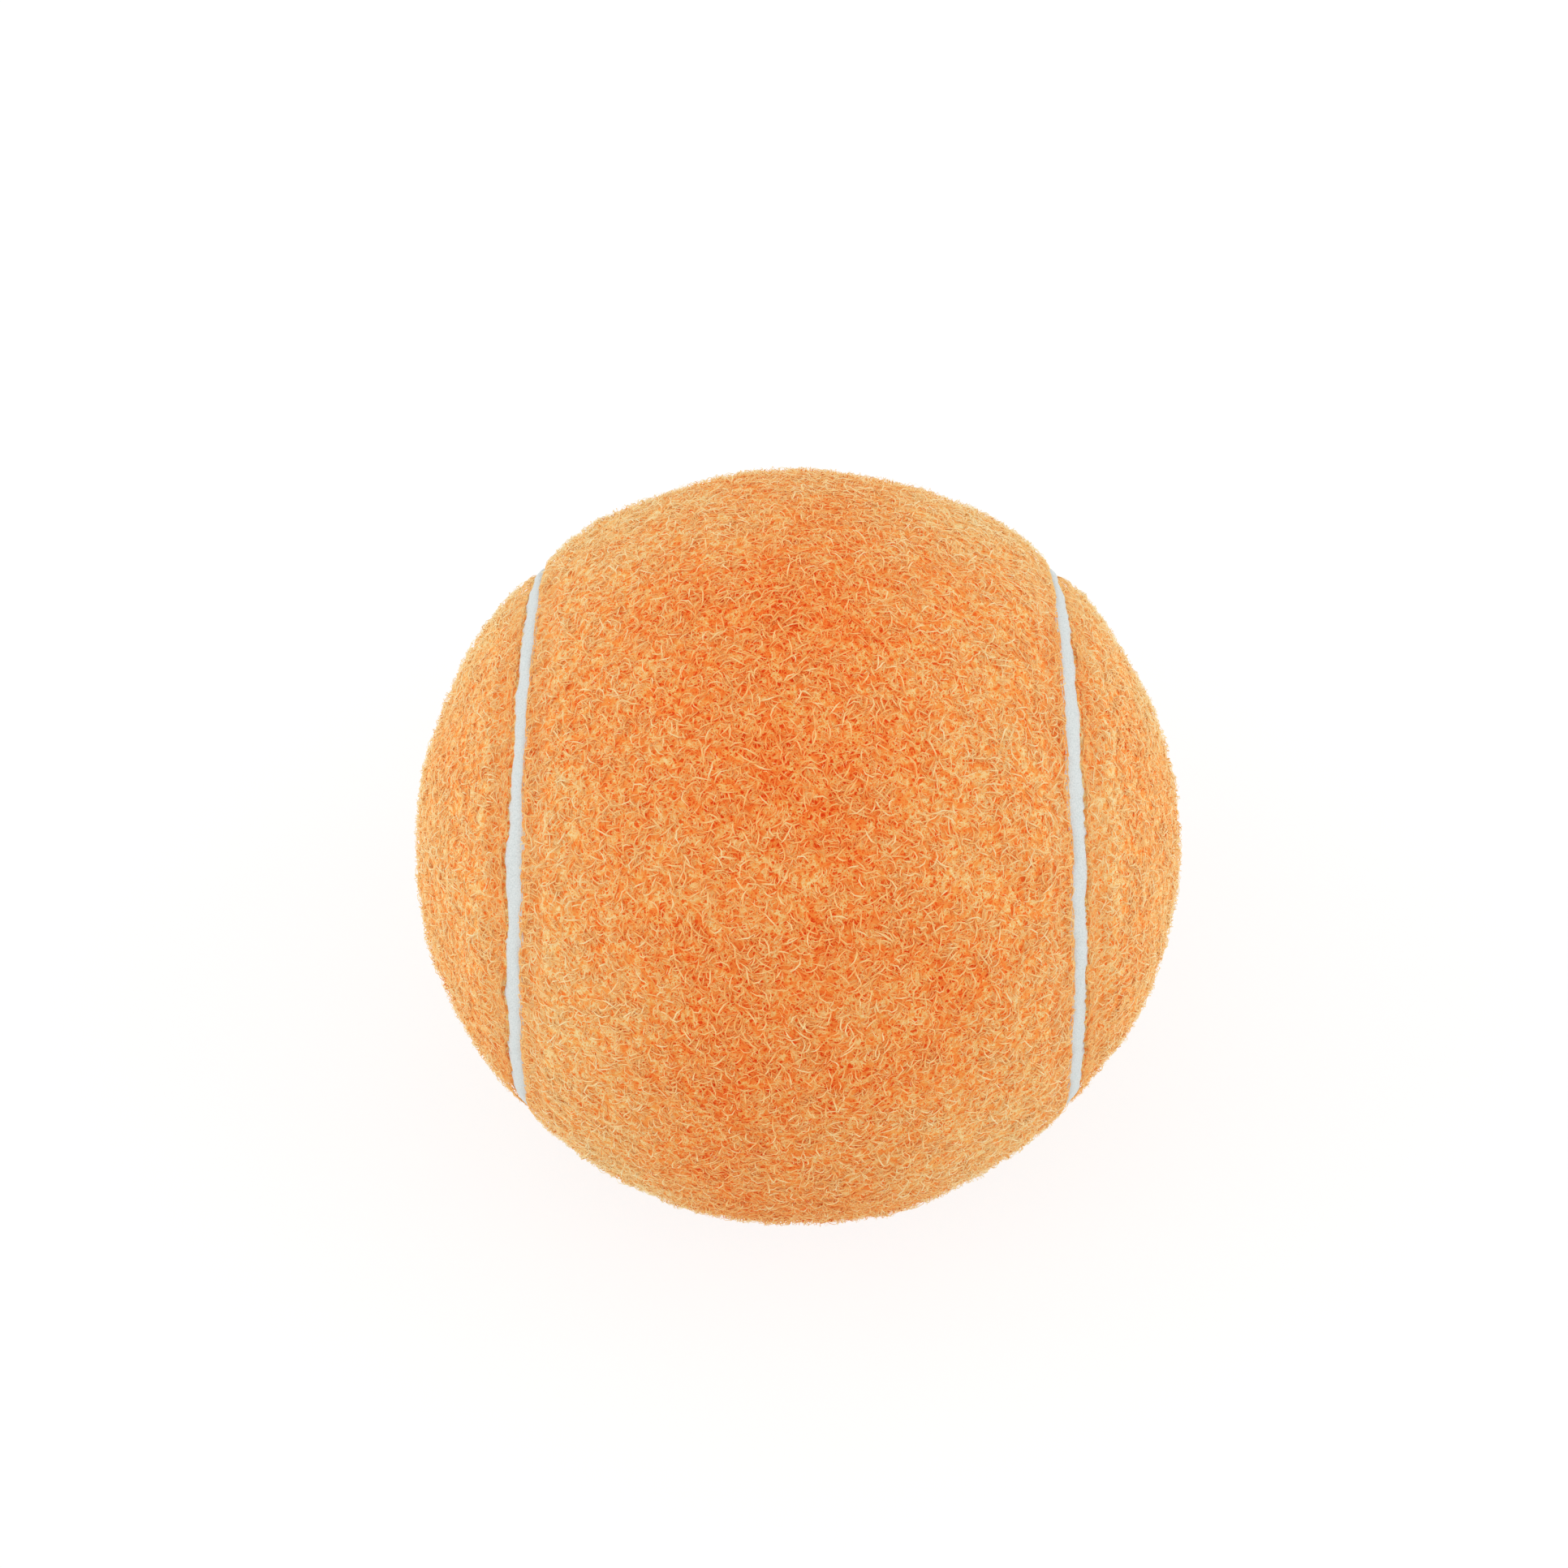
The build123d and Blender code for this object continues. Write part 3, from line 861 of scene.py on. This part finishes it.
inner_materials = {slot: inner_material(*finish) for slot, finish in INNER_FINISHES.items()}
for subpart in frame["record"]["subparts"]:
    if subpart["material_slot"] in inner_materials:
        material = inner_materials[subpart["material_slot"]]
        dress(frame["nodes"][subpart["node"]], material)
        print(subpart["node"], "gets", material.name)

# %% [markdown]
# ## What each piece stands for
# Every new piece rides on the ball's one body, and the solid that it stands in for is hidden. A panel of felt
# is a sheet of cloth, and its fibres ride with it.

# %% Ride and replace
for panel in PANELS:
    cloth = cloths[panel]
    for piece in (cloth, *naps[panel]):
        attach(piece, "root")
    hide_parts("felt_panel_" + panel)
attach(seam, "root")
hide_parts("seam_cement")
low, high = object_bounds()
print("dressed ball", [round(size / MM, 2) for size in high - low], "mm")

# %% [markdown]
# ## Floor and light
# A soft studio: a pale floor, an even white sky and a large soft lamp on each side. The floor shows white to
# the camera, with a share of real shading left in it, so that the ball keeps a faint shadow, and further off
# it rises to plain white and leaves no edge. A bright lamp from above could bleach the floor too, but it
# would bleach the ball with it.

# %% Studio
FLOOR_SIZE = 3.0
PAPER_COLOUR = "f2f2f0"
FLOOR_GLOW = 0.72
FLOOR_SHADE = 0.33
FLOOR_FADE = (0.15, 0.5)
SKY_LIGHT = 0.76
WHITE = (1, 1, 1, 1)
LAMP_POWER = 0.95
LAMP_SIZE = 0.5
LAMP_PLACES = (Vector((-0.55, 0, 0.25)), Vector((0.55, 0, 0.25)))


def seen_directly(tree):
    """1 for rays from the camera, and for those that mirror or glass sends on, else 0."""
    path = add_node(tree, "ShaderNodeLightPath")
    seen = path["Is Camera Ray"]
    for other in ("Is Glossy Ray", "Is Transmission Ray"):
        seen = add_node(tree, "ShaderNodeMath", (seen, path[other]), operation="MAXIMUM")[0]
    return seen


def floor_material():
    """Matt white paper sweep: white where it is looked at, with the ball's shadow kept."""
    material, tree = new_material("white_paper_sweep")
    paper = add_node(tree, "ShaderNodeBsdfDiffuse", (linear(PAPER_COLOUR),))[0]
    faint = add_node(tree, "ShaderNodeBsdfDiffuse", ([FLOOR_SHADE] * 3 + [1],))[0]
    place = add_node(tree, "ShaderNodeTexCoord")["Object"]
    distance = add_node(tree, "ShaderNodeVectorMath", (place,), operation="LENGTH")["Value"]
    strength = add_node(tree, "ShaderNodeMapRange", (distance, *FLOOR_FADE, FLOOR_GLOW, 1), **SOFT)[0]
    glow = add_node(tree, "ShaderNodeEmission", {"Strength": strength})[0]
    white = add_node(tree, "ShaderNodeAddShader", (faint, glow))[0]
    mixed = add_node(tree, "ShaderNodeMixShader", (seen_directly(tree), paper, white))[0]
    add_node(tree, "ShaderNodeOutputMaterial", (mixed,))
    return material


def make_floor():
    """A square of paper under the lowest fibre."""
    paper = bmesh.new()
    bmesh.ops.create_grid(paper, x_segments=1, y_segments=1, size=FLOOR_SIZE / 2)
    bmesh.ops.translate(paper, verts=paper.verts, vec=(0, 0, low.z))
    mesh = bpy.data.meshes.new("floor")
    paper.to_mesh(mesh)
    paper.free()
    mesh.materials.append(floor_material())
    floor = show("floor", mesh)


def make_sky():
    """An even sky that shows plain white, but lights the ball a little less."""
    world = bpy.data.worlds.new("studio_sky")
    world.use_nodes = True
    tree = world.node_tree
    tree.nodes.clear()
    light = add_node(tree, "ShaderNodeBackground", {"Color": WHITE, "Strength": SKY_LIGHT})[0]
    white = add_node(tree, "ShaderNodeBackground", {"Color": WHITE, "Strength": 1})[0]
    mixed = add_node(tree, "ShaderNodeMixShader", (seen_directly(tree), light, white))[0]
    add_node(tree, "ShaderNodeOutputWorld", (mixed,))
    bpy.context.scene.world = world


def make_lamp(place):
    """A square softbox that faces the ball."""
    data = bpy.data.lights.new("side_softbox", "AREA")
    data.energy = LAMP_POWER
    data.size = LAMP_SIZE
    lamp = bpy.data.objects.new("side_softbox", data)
    lamp.location = place
    lamp.rotation_euler = place.to_track_quat("Z", "Y").to_euler()
    bpy.context.scene.collection.objects.link(lamp)


make_floor()
make_sky()
for lamp_place in LAMP_PLACES:
    make_lamp(lamp_place)
bpy.context.scene.view_settings.view_transform = "Standard"
print("floor at", round(low.z / MM, 2), "mm")

# %% [markdown]
# ## Camera
# The camera stands where the seam lines and the outline of the ball fit best: five radii away, 64 degrees
# above the floor. It could be turned until the ball sits in its place in the picture, but that would also
# slant the view, so it looks straight at the ball and its lens is shifted instead.

# %% Camera at the photograph's angle
PICTURE_SIDE = 1932
BALL_PIXELS = Vector((981.7, 1041.1))
BALL_PIXEL_RADIUS = 470.0
CAMERA_RADII = 5.0
CAMERA_ELEVATION = math.radians(64)
SENSOR_WIDTH = 36


def make_camera():
    """A camera whose picture holds the ball at its pixel place and size."""
    data = bpy.data.cameras.new("camera")
    outline = math.tan(math.asin(1 / CAMERA_RADII))
    data.sensor_width = SENSOR_WIDTH
    data.lens = SENSOR_WIDTH / 2 / (outline * PICTURE_SIDE / 2 / BALL_PIXEL_RADIUS)
    data.shift_x = (PICTURE_SIDE / 2 - BALL_PIXELS.x) / PICTURE_SIDE
    data.shift_y = (BALL_PIXELS.y - PICTURE_SIDE / 2) / PICTURE_SIDE
    data.clip_start = 10 * MM
    camera = bpy.data.objects.new("camera", data)
    back = Vector((0, -math.cos(CAMERA_ELEVATION), math.sin(CAMERA_ELEVATION)))
    camera.location = back * CAMERA_RADII * BALL_RADIUS
    camera.rotation_euler = back.to_track_quat("Z", "Y").to_euler()
    bpy.context.scene.collection.objects.link(camera)
    bpy.context.scene.camera = camera
    return camera


camera = make_camera()
print("lens", round(camera.data.lens, 2), "mm at", round(camera.location.length / MM), "mm")
